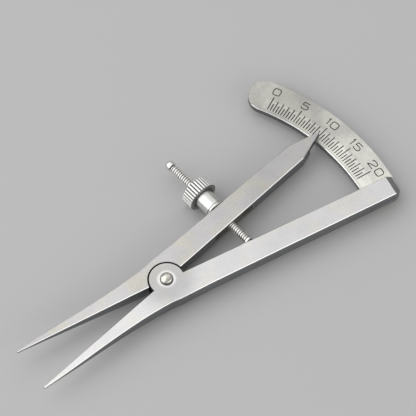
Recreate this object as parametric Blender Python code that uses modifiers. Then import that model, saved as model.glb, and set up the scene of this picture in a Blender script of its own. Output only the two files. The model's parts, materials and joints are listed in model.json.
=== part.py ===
"""Dental caliper with two bent arms, an arc scale, a swivelling screw and a knurled thumb nut.

The origin is on the pivot's axis in the plane of the arms' undersides. +X runs along the scale arm
towards the scale, +Y towards the pointer arm and +Z towards the engraved side. The tips stand at a
reading of ten, the middle of the scale.
"""
import math

import bmesh
import bpy
from mathutils import Matrix, Vector

MM = 0.001

# Arms: both are the same bent blank, mirrored
ARM_THICKNESS = 3.5 * MM
ARM_WIDTH = 5.7 * MM
ARM_BEND = math.radians(16.45)
EDGE_BREAK = 0.15 * MM
INNER_RELIEF = 0.08 * MM
TIP_RADIUS = 36.5 * MM
TIP_WIDTH = 0.4 * MM
TIP_THICKNESS = 0.6 * MM
ARM_TAPER_START = 8.0 * MM
TIP_EDGE_SHARE = 0.25
TOP_THINNING_SHARE = 0.25

# Reading: the scale shows the distance between the tips
REST_READING = 10.0 * MM
FULL_READING = 20.0 * MM
READING_UNIT = 1.0 * MM

# Pointer: its overlap reaches over the scale plate, and its lap is cut away underneath
POINTER_OVERLAP = 1.45 * MM
POINTER_LENGTH = 7.4 * MM
POINTER_LAP_LENGTH = 4.2 * MM
POINTER_SHOULDER_WIDTH = 4.75 * MM
POINTER_APEX_WIDTH = 0.14 * MM
POINTER_APEX_SHARE = 0.488

# Half laps at the pivot and at the scale
LAP_CLEARANCE = 0.12 * MM
DISC_RADIUS = 3.9 * MM
RECESS_RADIUS = 4.28 * MM

# Pivot rivet
RIVET_RADIUS = 1.1 * MM
RIVET_TAIL_RADIUS = 1.6 * MM
RIVET_TAIL_DEPTH = 0.5 * MM
RIVET_HEAD_RADIUS = 1.5 * MM
RIVET_HEAD_RIM = 0.18 * MM
RIVET_HEAD_HEIGHT = 1.1 * MM
RUNNING_CLEARANCE = 0.06 * MM

# Scale plate
PLATE_INNER_RADIUS = 49.25 * MM
PLATE_WIDTH = 8.15 * MM
PLATE_END_PAST_ZERO = math.radians(2.2)
PLATE_EDGE_BREAK = 0.15 * MM
SEAT_GAP = 0.08 * MM
SCALE_END_WIDTH = 5.0 * MM
END_BEVEL_LENGTH = 1.9 * MM
END_CORNER_RADIUS = 2.0 * MM

# Engraving
TICK_WIDTH = 0.25 * MM
ENGRAVING_DEPTH = 0.13 * MM
TICK_INSET = 0.85 * MM
HALF_TICK_LENGTH = 1.95 * MM
UNIT_TICK_LENGTH = 2.9 * MM
FIVE_TICK_LENGTH = 3.65 * MM
NUMERAL_INSET = 6.0 * MM
NUMERAL_HEIGHT = 1.8 * MM
NUMERAL_WIDTH = 1.75 * MM
NUMERAL_STROKE = 0.22 * MM
NUMERAL_PITCH = 2.45 * MM
NARROW_NUMERAL_PITCH = 1.75 * MM

# Adjusting screw, turned about its own axis and swivelling on a cross pin in the scale arm
SWIVEL_ALONG = 21.65 * MM
SWIVEL_DEPTH = 2.65 * MM
SCREW_LEAN = math.radians(2.5)
SWIVEL_EYE_RADIUS = 1.45 * MM
SWIVEL_EYE_HEIGHT = 2.1 * MM
SWIVEL_PIN_RADIUS = 0.6 * MM
SWIVEL_PIN_LENGTH = 3.1 * MM
POCKET_HEIGHT = 2.3 * MM
POCKET_CLEARANCE = 0.15 * MM
NECK_RADIUS = 0.75 * MM
COLLAR_START = 3.25 * MM
COLLAR_LENGTH = 0.62 * MM
COLLAR_RADIUS = 1.05 * MM
THREAD_RADIUS = 0.95 * MM
THREAD_DEPTH = 0.25 * MM
THREAD_PITCH = 0.585 * MM
THREAD_COVER = 0.03 * MM
LAND_RADIUS = 1.0 * MM
LAND_END = 29.1 * MM
SPIGOT_RADIUS = 0.5 * MM
SPIGOT_LENGTH = 0.85 * MM

# End cap, which keeps the nut on the screw
CAP_RADIUS = 1.15 * MM
CAP_LENGTH = 1.85 * MM
CAP_STRAIGHT_SHARE = 0.45

# Slot for the screw in the pointer arm, with room past the screw at both ends of its swing
SLOT_ROOM_CLOSED = 1.4 * MM
SLOT_ROOM_OPEN = 3.9 * MM
SLOT_HEIGHT = 2.3 * MM

# Washer and thumb nut
WASHER_THICKNESS = 0.5 * MM
WASHER_RADIUS = 2.25 * MM
WASHER_GAP = 0.1 * MM
WASHER_EDGE_BREAK = 0.1 * MM
SLEEVE_RADIUS = 2.25 * MM
SLEEVE_LENGTH = 3.8 * MM
SLEEVE_EDGE_BREAK = 0.12 * MM
KNURL_RADIUS = 3.74 * MM
KNURL_LENGTH = 3.0 * MM
KNURL_CHAMFER = 0.12 * MM
KNURL_DEPTH = 0.24 * MM
KNURL_GROOVE_WIDTH = 0.42 * MM
KNURL_COUNT = 30

CUTTER_OVERRUN = 1.0 * MM
MERGE_DISTANCE = 0.0001 * MM
ARC_STEP = math.radians(1.5)
ROUND_STEP = math.radians(15.0)
ROUND_SEGMENTS = 48
SMALL_SEGMENTS = 32
THREAD_SEGMENTS = 16
DOME_STEPS = 6
NEAR_SECTIONS = 3
FAR_SECTIONS = 10
KNURL_SEGMENTS = KNURL_COUNT * 2

# How far the front's outer edge hollows between the pivot and the tip, as a share of the pivot's width
FRONT_HOLLOW_SHARE = 0.9

# Width of the arm's rear part at places along its inner edge, as shares of the pivot's width
SCALE_REAR_WIDTH_SHARES = ((0.145, 0.949), (0.5, 0.905))
POINTER_REAR_WIDTH_SHARES = ((0.185, 0.937), (0.69, 0.88))

# Numerals, drawn as single strokes in a unit box
NUMERAL_STROKE_SHARES = {
    "0": ((0.28, 0.0), (0.72, 0.0), (0.93, 0.07), (1.0, 0.28), (1.0, 0.72), (0.93, 0.93),
          (0.72, 1.0), (0.28, 1.0), (0.07, 0.93), (0.0, 0.72), (0.0, 0.28), (0.07, 0.07)),
    "1": ((0.3, 0.82), (0.5, 1.0), (0.5, 0.0)),
    "2": ((0.0, 0.72), (0.08, 0.92), (0.3, 1.0), (0.7, 1.0), (0.92, 0.92), (1.0, 0.75),
          (0.9, 0.56), (0.14, 0.22), (0.0, 0.0), (1.0, 0.0)),
    "5": ((0.94, 1.0), (0.12, 1.0), (0.06, 0.58), (0.68, 0.62), (0.93, 0.52), (1.0, 0.32),
          (0.92, 0.08), (0.68, 0.0), (0.25, 0.0), (0.0, 0.16)),
}

# Places that follow from the sizes above
PLATE_OUTER_RADIUS = PLATE_INNER_RADIUS + PLATE_WIDTH
TICK_FOOT_RADIUS = PLATE_INNER_RADIUS + TICK_INSET
NUMERAL_RADIUS = PLATE_INNER_RADIUS + NUMERAL_INSET
POINTER_REACH = PLATE_INNER_RADIUS + POINTER_OVERLAP
POINTER_SHOULDER = POINTER_REACH - POINTER_LENGTH
POINTER_LAP_START = POINTER_REACH - POINTER_LAP_LENGTH
LAP_PLANE = ARM_THICKNESS / 2
LOWER_TOP = LAP_PLANE - LAP_CLEARANCE / 2
UPPER_BOTTOM = LAP_PLANE + LAP_CLEARANCE / 2
POINTER_CENTRE = INNER_RELIEF + POINTER_SHOULDER_WIDTH * POINTER_APEX_SHARE


def opening_angle(reading):
    """Angle between the tips' radii at a reading, from the chord between the tips."""
    return 2 * math.asin(reading / (2 * TIP_RADIUS))


POINTER_ARM_ANGLE = 2 * ARM_BEND - opening_angle(REST_READING)
POINTER_APEX_ANGLE = POINTER_ARM_ANGLE + math.atan2(POINTER_CENTRE, POINTER_REACH)
ZERO_TICK_ANGLE = POINTER_APEX_ANGLE + opening_angle(REST_READING)
SCREW_ANGLE = POINTER_ARM_ANGLE + math.radians(90.0) - SCREW_LEAN
CLOSING_TURN = opening_angle(REST_READING)
OPENING_TURN = opening_angle(FULL_READING) - opening_angle(REST_READING)


def clear_scene():
    """Start from an empty scene."""
    for obj in list(bpy.data.objects):
        bpy.data.objects.remove(obj, do_unlink=True)


def new_collection(name):
    """A collection linked to the scene."""
    collection = bpy.data.collections.new(name)
    bpy.context.scene.collection.children.link(collection)
    return collection


def steel(name, color, roughness):
    """A steel with its own colour and roughness."""
    material = bpy.data.materials.new(name)
    material.use_nodes = True
    shader = material.node_tree.nodes["Principled BSDF"]
    shader.inputs["Base Color"].default_value = (*color, 1.0)
    shader.inputs["Metallic"].default_value = 1.0
    shader.inputs["Roughness"].default_value = roughness
    return material


def mesh_object(name, bm, collection):
    """An object from a bmesh, which is freed."""
    bmesh.ops.recalc_face_normals(bm, faces=bm.faces[:])
    mesh = bpy.data.meshes.new(name)
    bm.to_mesh(mesh)
    bm.free()
    obj = bpy.data.objects.new(name, mesh)
    collection.objects.link(obj)
    return obj


def as_cutter(obj):
    """Mark an object as one that only cuts or joins another."""
    obj.hide_render = True
    obj.display_type = "WIRE"
    return obj


def shade(obj):
    """Smooth the round faces and keep the corners sharp."""
    obj.data.shade_smooth()
    obj.data.set_sharp_from_angle(angle=math.radians(30.0))


def combine(obj, other, operation):
    """Join another object to this one, or cut it away, and let it ride on this one."""
    other.parent = obj
    modifier = obj.modifiers.new(other.name, "BOOLEAN")
    modifier.operation = operation
    modifier.solver = "EXACT"
    modifier.object = other


def cylinder(name, radius, low, high, collection, segments=ROUND_SEGMENTS):
    """A cylinder about local Z between two heights."""
    bm = bmesh.new()
    place = Matrix.Translation((0.0, 0.0, (low + high) / 2))
    bmesh.ops.create_cone(bm, cap_ends=True, segments=segments, radius1=radius, radius2=radius,
                          depth=high - low, matrix=place)
    return mesh_object(name, bm, collection)


def box(name, low, high, collection):
    """A box between two corners."""
    bm = bmesh.new()
    bmesh.ops.create_cube(bm, size=1.0)
    size = Vector(high) - Vector(low)
    middle = (Vector(high) + Vector(low)) / 2
    bmesh.ops.scale(bm, vec=size, verts=bm.verts)
    bmesh.ops.translate(bm, vec=middle, verts=bm.verts)
    return mesh_object(name, bm, collection)


def turned(name, profile, collection, segments=SMALL_SEGMENTS, closed=False):
    """A solid turned about local Z; its profile runs from the top down its outer side."""
    count = len(profile)
    edges = [(i, i + 1) for i in range(count - 1)]
    if closed:
        edges.append((count - 1, 0))
    mesh = bpy.data.meshes.new(name)
    mesh.from_pydata([(radius, 0.0, height) for radius, height in profile], edges, [])
    obj = bpy.data.objects.new(name, mesh)
    collection.objects.link(obj)
    modifier = obj.modifiers.new("turn", "SCREW")
    modifier.angle = math.radians(360.0)
    modifier.steps = segments
    modifier.render_steps = segments
    modifier.use_merge_vertices = True
    modifier.merge_threshold = MERGE_DISTANCE
    modifier.use_smooth_shade = True
    return obj


def outline_solid(name, loops, low, high, collection):
    """A flat outline, with holes where it has more than one loop, between two heights."""
    curve = bpy.data.curves.new(name, "CURVE")
    curve.dimensions = "2D"
    curve.fill_mode = "BOTH"
    curve.extrude = (high - low) / 2
    for loop in loops:
        spline = curve.splines.new("POLY")
        spline.points.add(len(loop) - 1)
        for point, (x, y) in zip(spline.points, loop):
            point.co = (x, y, 0.0, 1.0)
        spline.use_cyclic_u = True
    guide = bpy.data.objects.new(name + "_outline", curve)
    collection.objects.link(guide)
    bpy.context.view_layer.update()
    depsgraph = bpy.context.evaluated_depsgraph_get()
    mesh = bpy.data.meshes.new_from_object(guide.evaluated_get(depsgraph))
    bpy.data.objects.remove(guide, do_unlink=True)
    bm = bmesh.new()
    bm.from_mesh(mesh)
    bpy.data.meshes.remove(mesh)
    bmesh.ops.remove_doubles(bm, verts=bm.verts, dist=MERGE_DISTANCE)
    bmesh.ops.translate(bm, vec=(0.0, 0.0, (low + high) / 2), verts=bm.verts)
    return mesh_object(name, bm, collection)


def arc(radius, start, end, step=ARC_STEP, centre=(0.0, 0.0)):
    """Points along an arc, both ends included."""
    count = max(2, math.ceil(abs(end - start) / step))
    angles = [start + (end - start) * i / count for i in range(count + 1)]
    return [(centre[0] + radius * math.cos(a), centre[1] + radius * math.sin(a)) for a in angles]


def break_edges(obj, width):
    """A narrow flat along the sharp edges."""
    modifier = obj.modifiers.new("edge_break", "BEVEL")
    modifier.width = width
    modifier.segments = 1
    modifier.limit_method = "ANGLE"
    modifier.angle_limit = math.radians(40.0)
    modifier.use_clamp_overlap = True


def arm_section(along, width, thickness):
    """One section of the arm blank, whose inner edge lies on the pivot's line.

    Negative places along the edge lie on the front part, past the bend.
    """
    if along < 0:
        turn = ARM_BEND
    elif along > 0:
        turn = 0.0
    else:
        turn = ARM_BEND / 2
    edge_direction = Vector((math.cos(turn), math.sin(turn)))
    outward = Vector((math.sin(turn), -math.cos(turn)))
    inner = edge_direction * along + outward * INNER_RELIEF
    outer = edge_direction * along + outward * (INNER_RELIEF + width)
    cut = min(EDGE_BREAK, TIP_EDGE_SHARE * min(width, thickness))
    low = (ARM_THICKNESS - thickness) * (1 - TOP_THINNING_SHARE)
    high = low + thickness
    near = inner + outward * cut
    far = outer - outward * cut
    return [(*near, low), (*inner, low + cut), (*inner, high - cut), (*near, high),
            (*far, high), (*outer, high - cut), (*outer, low + cut), (*far, low)]


def front_section(share):
    """A section of the front part, at a share of the way from the pivot to the tip."""
    along = TIP_RADIUS * share
    hollow = FRONT_HOLLOW_SHARE * ARM_WIDTH * share * (1 - share) ** 2
    width = ARM_WIDTH + (TIP_WIDTH - ARM_WIDTH) * share - hollow
    thinned = max(0.0, (along - ARM_TAPER_START) / (TIP_RADIUS - ARM_TAPER_START))
    return arm_section(-along, width, ARM_THICKNESS + (TIP_THICKNESS - ARM_THICKNESS) * thinned)


def arm_blank(name, rear_sections, mirrored, collection):
    """A bent arm lofted through its sections, from the tip to the rear end."""
    taper_share = ARM_TAPER_START / TIP_RADIUS
    near = [taper_share * i / NEAR_SECTIONS for i in range(1, NEAR_SECTIONS)]
    far = [taper_share + (1 - taper_share) * i / FAR_SECTIONS for i in range(FAR_SECTIONS + 1)]
    sections = [front_section(share) for share in reversed(near + far)]
    sections.append(arm_section(0.0, ARM_WIDTH, ARM_THICKNESS))
    sections.extend(rear_sections)
    bm = bmesh.new()
    rings = [[bm.verts.new(point) for point in section] for section in sections]
    for first, second in zip(rings, rings[1:]):
        for i in range(len(first)):
            j = (i + 1) % len(first)
            bm.faces.new((first[i], first[j], second[j], second[i]))
    bm.faces.new(rings[0])
    bm.faces.new(reversed(rings[-1]))
    if mirrored:
        bmesh.ops.scale(bm, vec=(1.0, -1.0, 1.0), verts=bm.verts)
    return mesh_object(name, bm, collection)


def end_corner():
    """The rounded outer corner of the scale arm's end, as (along, width) from the pivot's line."""
    end = math.sqrt(PLATE_OUTER_RADIUS ** 2 - SCALE_END_WIDTH ** 2)
    centre = (end - END_CORNER_RADIUS, SCALE_END_WIDTH - END_CORNER_RADIUS)
    points = arc(END_CORNER_RADIUS, math.radians(90.0), 0.0, step=math.radians(22.5), centre=centre)
    return points[:-1] + [(end, centre[1])]


def make_scale_arm(parts, cutters):
    """Scale arm: blank with the pivot disc above, the screw's pocket and the scale's seat."""
    corner = end_corner()
    rear = [arm_section(corner[0][0] * place, ARM_WIDTH * width, ARM_THICKNESS)
            for place, width in SCALE_REAR_WIDTH_SHARES]
    rear.extend(arm_section(along, width - INNER_RELIEF, ARM_THICKNESS) for along, width in corner)
    arm = arm_blank("scale_arm", rear, False, parts)
    disc = as_cutter(cylinder("scale_arm_disc", DISC_RADIUS, 0.0, ARM_THICKNESS, cutters))
    combine(arm, disc, "UNION")
    recess = as_cutter(cylinder("scale_arm_recess", RECESS_RADIUS, -CUTTER_OVERRUN, UPPER_BOTTOM,
                                cutters))
    combine(arm, recess, "DIFFERENCE")
    bore = as_cutter(cylinder("scale_arm_bore", RIVET_RADIUS + RUNNING_CLEARANCE, 0.0,
                              ARM_THICKNESS + CUTTER_OVERRUN, cutters, SMALL_SEGMENTS))
    combine(arm, bore, "DIFFERENCE")
    shoulder = math.sqrt(PLATE_INNER_RADIUS ** 2 - SCALE_END_WIDTH ** 2) - SEAT_GAP
    seat = as_cutter(box("scale_seat", (shoulder, -SCALE_END_WIDTH - CUTTER_OVERRUN, -CUTTER_OVERRUN),
                         (PLATE_OUTER_RADIUS + CUTTER_OVERRUN, CUTTER_OVERRUN, UPPER_BOTTOM), cutters))
    combine(arm, seat, "DIFFERENCE")
    combine(arm, end_bevel_cutter(corner[-1][0], cutters), "DIFFERENCE")
    combine(arm, pocket_cutter(cutters), "DIFFERENCE")
    pin_bore = cylinder("swivel_pin_bore", SWIVEL_PIN_RADIUS + RUNNING_CLEARANCE, -CUTTER_OVERRUN,
                        SWIVEL_PIN_LENGTH + RUNNING_CLEARANCE, cutters, SMALL_SEGMENTS)
    pin_bore.location = (SWIVEL_ALONG, -SWIVEL_DEPTH, 0.0)
    combine(arm, as_cutter(pin_bore), "DIFFERENCE")
    return arm


def end_bevel_cutter(end, cutters):
    """A wedge that slopes the scale arm's end down to the scale plate."""
    top = ARM_THICKNESS
    drop = top - UPPER_BOTTOM
    over = CUTTER_OVERRUN / END_BEVEL_LENGTH
    outline = [(end - END_BEVEL_LENGTH * (1 + over), top + drop * over),
               (end + END_BEVEL_LENGTH * over, UPPER_BOTTOM - drop * over),
               (end + END_BEVEL_LENGTH * over, top + drop * over)]
    wedge = outline_solid("end_bevel", [outline], -CUTTER_OVERRUN,
                          SCALE_END_WIDTH + CUTTER_OVERRUN, cutters)
    wedge.rotation_euler = (math.radians(90.0), 0.0, 0.0)
    return as_cutter(wedge)


def pocket_cutter(cutters):
    """The pocket in the scale arm's inner side, in which the screw's eye sits and swings."""
    radius = SWIVEL_EYE_RADIUS + POCKET_CLEARANCE
    least = SCREW_ANGLE - OPENING_TURN
    most = SCREW_ANGLE + CLOSING_TURN
    quarter = math.radians(90.0)
    outline = arc(radius, least - quarter, most + quarter - math.radians(360.0), step=ROUND_STEP)
    reach = SWIVEL_DEPTH + CUTTER_OVERRUN
    for angle, side in ((most, outline[-1]), (least, outline[0])):
        length = (reach - side[1]) / math.sin(angle)
        outline.append((side[0] + length * math.cos(angle), reach))
    low = LAP_PLANE - POCKET_HEIGHT / 2
    pocket = outline_solid("screw_pocket", [outline], low, low + POCKET_HEIGHT, cutters)
    pocket.location = (SWIVEL_ALONG, -SWIVEL_DEPTH, 0.0)
    return as_cutter(pocket)


def make_pointer_arm(parts, cutters):
    """Pointer arm: blank with the pivot disc below, the screw's slot and the pointer."""
    rear = [arm_section(POINTER_SHOULDER * place, ARM_WIDTH * width, ARM_THICKNESS)
            for place, width in POINTER_REAR_WIDTH_SHARES]
    rear.append(arm_section(POINTER_SHOULDER, POINTER_SHOULDER_WIDTH, ARM_THICKNESS))
    rear.append(pointer_apex_section())
    arm = arm_blank("pointer_arm", rear, True, parts)
    disc = as_cutter(cylinder("pointer_arm_disc", DISC_RADIUS, 0.0, ARM_THICKNESS, cutters))
    combine(arm, disc, "UNION")
    recess = as_cutter(cylinder("pointer_arm_recess", RECESS_RADIUS, LOWER_TOP,
                                ARM_THICKNESS + CUTTER_OVERRUN, cutters))
    combine(arm, recess, "DIFFERENCE")
    hole = [(0.0, ARM_THICKNESS), (RIVET_RADIUS, ARM_THICKNESS), (RIVET_RADIUS, RIVET_TAIL_DEPTH),
            (RIVET_TAIL_RADIUS, 0.0), (RIVET_TAIL_RADIUS, -CUTTER_OVERRUN), (0.0, -CUTTER_OVERRUN)]
    hole = [(radius + RUNNING_CLEARANCE if radius else radius, height) for radius, height in hole]
    combine(arm, as_cutter(turned("pointer_arm_bore", hole, cutters)), "DIFFERENCE")
    under = box("pointer_underside", (POINTER_LAP_START, -CUTTER_OVERRUN, -CUTTER_OVERRUN),
                (POINTER_REACH + CUTTER_OVERRUN, ARM_WIDTH + CUTTER_OVERRUN, UPPER_BOTTOM), cutters)
    combine(arm, as_cutter(under), "DIFFERENCE")
    combine(arm, slot_cutter(cutters), "DIFFERENCE")
    return arm


def pointer_apex_section():
    """The pointer's blunt apex, near the middle of the arm."""
    low, high = 0.0, ARM_THICKNESS
    cut = TIP_EDGE_SHARE * POINTER_APEX_WIDTH
    near = -POINTER_CENTRE + POINTER_APEX_WIDTH / 2
    far = -POINTER_CENTRE - POINTER_APEX_WIDTH / 2
    along = POINTER_REACH
    return [(along, near - cut, low), (along, near, low + cut), (along, near, high - cut),
            (along, near - cut, high), (along, far + cut, high), (along, far, high - cut),
            (along, far, low + cut), (along, far + cut, low)]


def swivel_from_pointer_arm(turn):
    """The swivel's place along the pointer arm and below its inner edge, once the arm has turned."""
    radius = math.hypot(SWIVEL_ALONG, SWIVEL_DEPTH)
    angle = POINTER_ARM_ANGLE + turn + math.atan2(SWIVEL_DEPTH, SWIVEL_ALONG)
    return radius * math.cos(angle), radius * math.sin(angle)


def screw_crossing(turn):
    """Where the screw crosses the pointer arm's middle, along the arm, once the arm has turned."""
    along, below = swivel_from_pointer_arm(turn)
    return along + (below + ARM_WIDTH / 2) * math.tan(SCREW_LEAN)


def slot_cutter(cutters):
    """The slot with round ends that lets the screw slide along the pointer arm."""
    radius = SLOT_HEIGHT / 2
    quarter = math.radians(90.0)
    start = screw_crossing(CLOSING_TURN) - COLLAR_RADIUS - SLOT_ROOM_CLOSED
    end = screw_crossing(-OPENING_TURN) + COLLAR_RADIUS + SLOT_ROOM_OPEN
    first = (start + radius, LAP_PLANE)
    last = (end - radius, LAP_PLANE)
    outline = arc(radius, quarter, 3 * quarter, step=ROUND_STEP, centre=first)
    outline += arc(radius, -quarter, quarter, step=ROUND_STEP, centre=last)
    slot = outline_solid("screw_slot", [outline], -ARM_WIDTH - CUTTER_OVERRUN, CUTTER_OVERRUN, cutters)
    slot.rotation_euler = (math.radians(90.0), 0.0, 0.0)
    return as_cutter(slot)


def make_scale_plate(parts, cutters):
    """Scale plate: an arc with a round end, seated in the lower half under the scale arm's end."""
    middle = (PLATE_INNER_RADIUS + PLATE_OUTER_RADIUS) / 2
    end_radius = (PLATE_OUTER_RADIUS - PLATE_INNER_RADIUS) / 2
    end_angle = ZERO_TICK_ANGLE + PLATE_END_PAST_ZERO
    centre = (middle * math.cos(end_angle), middle * math.sin(end_angle))
    half_turn = math.radians(180.0)
    start = -math.asin(SCALE_END_WIDTH / PLATE_INNER_RADIUS)
    corner = [(along, -width) for along, width in end_corner()]
    outer_start = math.atan2(corner[-1][1], corner[-1][0])
    outline = corner[:-1]
    outline += arc(PLATE_OUTER_RADIUS, outer_start, end_angle)[:-1]
    outline += arc(end_radius, end_angle, end_angle + half_turn, step=ROUND_STEP, centre=centre)
    outline += arc(PLATE_INNER_RADIUS, end_angle, start)[1:]
    plate = outline_solid("scale_plate", [outline], 0.0, LOWER_TOP, parts)
    break_edges(plate, PLATE_EDGE_BREAK)
    combine(plate, numeral_cutters(cutters), "DIFFERENCE")
    combine(plate, tick_cutters(cutters), "DIFFERENCE")
    return plate


def tick_cutters(cutters):
    """One V groove for each half unit of the scale, longer at the units and at the fives."""
    bm = bmesh.new()
    halves = round(FULL_READING / READING_UNIT) * 2
    for half in range(halves + 1):
        angle = ZERO_TICK_ANGLE - opening_angle(half * READING_UNIT / 2)
        if half % 10 == 0:
            length = FIVE_TICK_LENGTH
        elif half % 2 == 0:
            length = UNIT_TICK_LENGTH
        else:
            length = HALF_TICK_LENGTH
        place = Matrix.Rotation(angle, 4, "Z")
        place @= Matrix.Translation((TICK_FOOT_RADIUS + length / 2, 0.0, LOWER_TOP + ENGRAVING_DEPTH))
        place @= Matrix.Rotation(math.radians(90.0), 4, "Y")
        place @= Matrix.Diagonal((ENGRAVING_DEPTH * 2, TICK_WIDTH, length, 1.0))
        bmesh.ops.create_cone(bm, cap_ends=True, segments=4, radius1=1.0, radius2=1.0, depth=1.0,
                              matrix=place)
    return as_cutter(mesh_object("scale_ticks", bm, cutters))


def offset_points(points, distance, closed):
    """A stroke's points moved sideways, with its corners mitred."""
    count = len(points)
    moved = []
    for i, point in enumerate(points):
        before = points[i - 1] if closed or i > 0 else None
        after = points[(i + 1) % count] if closed or i < count - 1 else None
        directions = []
        if before:
            directions.append((Vector(point) - Vector(before)).normalized())
        if after:
            directions.append((Vector(after) - Vector(point)).normalized())
        normals = [Vector((-d.y, d.x)) for d in directions]
        mitre = sum(normals, Vector((0.0, 0.0))).normalized()
        reach = distance / mitre.dot(normals[0])
        moved.append(tuple(Vector(point) + mitre * reach))
    return moved


def numeral_loops(digit):
    """The outline of one numeral's stroke, centred on the origin."""
    points = [((x - 1 / 2) * NUMERAL_WIDTH, (y - 1 / 2) * NUMERAL_HEIGHT)
              for x, y in NUMERAL_STROKE_SHARES[digit]]
    closed = digit == "0"
    left = offset_points(points, NUMERAL_STROKE / 2, closed)
    right = offset_points(points, -NUMERAL_STROKE / 2, closed)
    if closed:
        return [left, right]
    return [left + right[::-1]]


def numeral_cutters(cutters):
    """The numbers at every fifth unit, upright where the scale is seen from outside."""
    bm = bmesh.new()
    units = round(FULL_READING / READING_UNIT)
    for value in range(0, units + 1, 5):
        digits = str(value)
        pitch = NARROW_NUMERAL_PITCH if "1" in digits else NUMERAL_PITCH
        middle = ZERO_TICK_ANGLE - opening_angle(value * READING_UNIT)
        for i, digit in enumerate(digits):
            shift = (i - (len(digits) - 1) / 2) * pitch
            solid = outline_solid("numeral", numeral_loops(digit), LOWER_TOP - ENGRAVING_DEPTH,
                                  LOWER_TOP + CUTTER_OVERRUN, cutters)
            turn = middle - shift / NUMERAL_RADIUS
            place = Matrix.Rotation(turn, 4, "Z")
            place @= Matrix.Translation((NUMERAL_RADIUS, 0.0, 0.0))
            place @= Matrix.Rotation(math.radians(-90.0), 4, "Z")
            solid.data.transform(place)
            bm.from_mesh(solid.data)
            bpy.data.objects.remove(solid, do_unlink=True)
    return as_cutter(mesh_object("scale_numerals", bm, cutters))


def dome(radius, rim, top):
    """Profile of a dome from its apex down to its rim."""
    turns = [math.radians(90.0) * i / DOME_STEPS for i in range(1, DOME_STEPS + 1)]
    return [(0.0, top)] + [(radius * math.sin(turn), rim + (top - rim) * math.cos(turn))
                           for turn in turns]


def make_pivot_rivet(parts):
    """Pivot rivet: a low domed head above, a countersunk tail flush with the underside."""
    seat = ARM_THICKNESS + SEAT_GAP
    profile = dome(RIVET_HEAD_RADIUS, seat + RIVET_HEAD_RIM, seat + RIVET_HEAD_HEIGHT)
    profile += [(RIVET_HEAD_RADIUS, seat), (RIVET_RADIUS, seat), (RIVET_RADIUS, RIVET_TAIL_DEPTH),
                (RIVET_TAIL_RADIUS, 0.0), (0.0, 0.0)]
    return turned("pivot_rivet", profile, parts)


def make_swivel_pin(parts):
    """Cross pin, pressed in from the scale arm's underside, on which the screw swings."""
    pin = cylinder("swivel_pin", SWIVEL_PIN_RADIUS, 0.0, SWIVEL_PIN_LENGTH, parts, SMALL_SEGMENTS)
    pin.location = (SWIVEL_ALONG, -SWIVEL_DEPTH, 0.0)
    return pin


def thread_turns(start):
    """Whole turns of thread that fit between the collar and the plain end."""
    return math.floor((LAND_END - THREAD_COVER - THREAD_PITCH - start) / THREAD_PITCH)


def thread_solid(start, turns, cutters):
    """The screw's helical thread as one closed solid, from a profile swept up a helix."""
    root = THREAD_RADIUS - THREAD_DEPTH
    profile = [(root, start + THREAD_PITCH), (THREAD_RADIUS, start + THREAD_PITCH / 2), (root, start)]
    sweep = turned("thread_sweep", profile, cutters, THREAD_SEGMENTS)
    modifier = sweep.modifiers["turn"]
    modifier.screw_offset = THREAD_PITCH
    modifier.iterations = turns
    bpy.context.view_layer.update()
    depsgraph = bpy.context.evaluated_depsgraph_get()
    mesh = bpy.data.meshes.new_from_object(sweep.evaluated_get(depsgraph))
    bpy.data.objects.remove(sweep, do_unlink=True)
    bm = bmesh.new()
    bm.from_mesh(mesh)
    bpy.data.meshes.remove(mesh)
    bmesh.ops.remove_doubles(bm, verts=bm.verts, dist=MERGE_DISTANCE)
    middle = start + turns * THREAD_PITCH / 2
    for centre, side in ((start + THREAD_PITCH / 2, -1),
                         (start + (turns + 1 / 2) * THREAD_PITCH, 1)):
        rim = [e for e in bm.edges if e.is_boundary and (e.verts[0].co.z - middle) * side > 0]
        made = bmesh.ops.extrude_edge_only(bm, edges=rim)["geom"]
        verts = [item for item in made if isinstance(item, bmesh.types.BMVert)]
        bmesh.ops.pointmerge(bm, verts=verts, merge_co=(0.0, 0.0, centre))
    return as_cutter(mesh_object("thread", bm, cutters))


def make_adjusting_screw(parts, cutters):
    """Adjusting screw: swivel eye, neck, collar, thread and a plain end with a spigot."""
    collar_end = COLLAR_START + COLLAR_LENGTH
    shank = [(0.0, collar_end), (COLLAR_RADIUS, collar_end), (COLLAR_RADIUS, COLLAR_START),
             (NECK_RADIUS, COLLAR_START), (NECK_RADIUS, 0.0), (0.0, 0.0)]
    screw = turned("adjusting_screw", shank, parts)
    start = COLLAR_START + THREAD_COVER
    turns = thread_turns(start)
    combine(screw, thread_solid(start, turns, cutters), "UNION")
    land_start = start + turns * THREAD_PITCH - THREAD_COVER
    tail = [(0.0, LAND_END + SPIGOT_LENGTH), (SPIGOT_RADIUS, LAND_END + SPIGOT_LENGTH),
            (SPIGOT_RADIUS, LAND_END), (LAND_RADIUS, LAND_END), (LAND_RADIUS, land_start),
            (0.0, land_start)]
    combine(screw, as_cutter(turned("screw_tail", tail, cutters)), "UNION")
    half = SWIVEL_EYE_HEIGHT / 2
    eye = cylinder("swivel_eye", SWIVEL_EYE_RADIUS, -half, half, cutters, SMALL_SEGMENTS)
    bore = cylinder("swivel_eye_bore", SWIVEL_PIN_RADIUS + RUNNING_CLEARANCE, -half - CUTTER_OVERRUN,
                    half + CUTTER_OVERRUN, cutters, SMALL_SEGMENTS)
    for cross_piece in (eye, bore):
        cross_piece.data.transform(Matrix.Rotation(math.radians(90.0), 4, "X"))
    combine(screw, as_cutter(eye), "UNION")
    combine(screw, as_cutter(bore), "DIFFERENCE")
    return screw


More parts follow.
